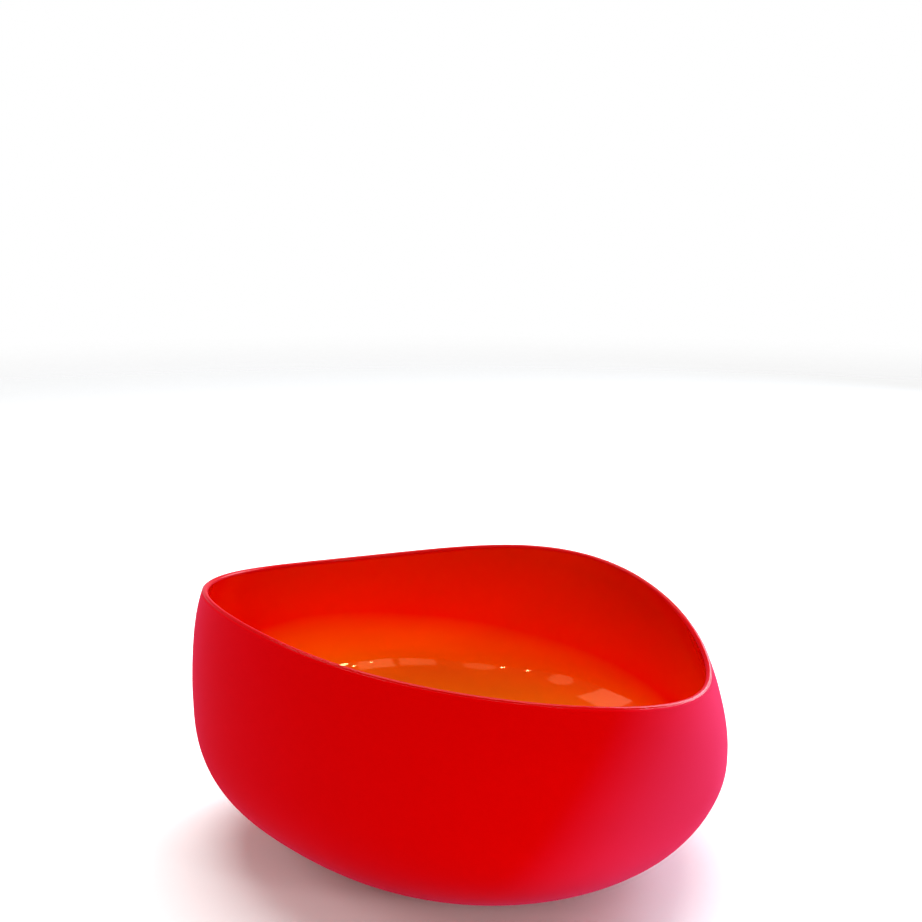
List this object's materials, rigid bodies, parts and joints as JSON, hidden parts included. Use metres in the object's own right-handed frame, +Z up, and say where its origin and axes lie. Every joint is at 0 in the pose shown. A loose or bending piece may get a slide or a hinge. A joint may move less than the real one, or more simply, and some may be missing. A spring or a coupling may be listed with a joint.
{
  "type": "art glass bowl",
  "caption": "Free-standing blown glass bowl with a wavy, out-of-round mouth, a satin outside, a glossy graded inside and a flat ground foot.",
  "frame": {"origin": "on the plane the foot stands on, under the middle of the bowl's outline", "axes": "+Z up, -Y towards the side seen in front, +X towards the low right-hand side of the mouth"},
  "size_m": [0.2996, 0.3085, 0.149],
  "materials": {
    "casing_satin": "acid-etched satin red glass, opaque to the eye, roughness about 0.5",
    "lining_gloss": "fire-polished glossy glass, red at the mouth grading to orange in the bottom"
  },
  "bodies": {
    "root": {"outer_casing": "casing_satin", "inner_lining": "lining_gloss"}
  },
  "joints": []
}
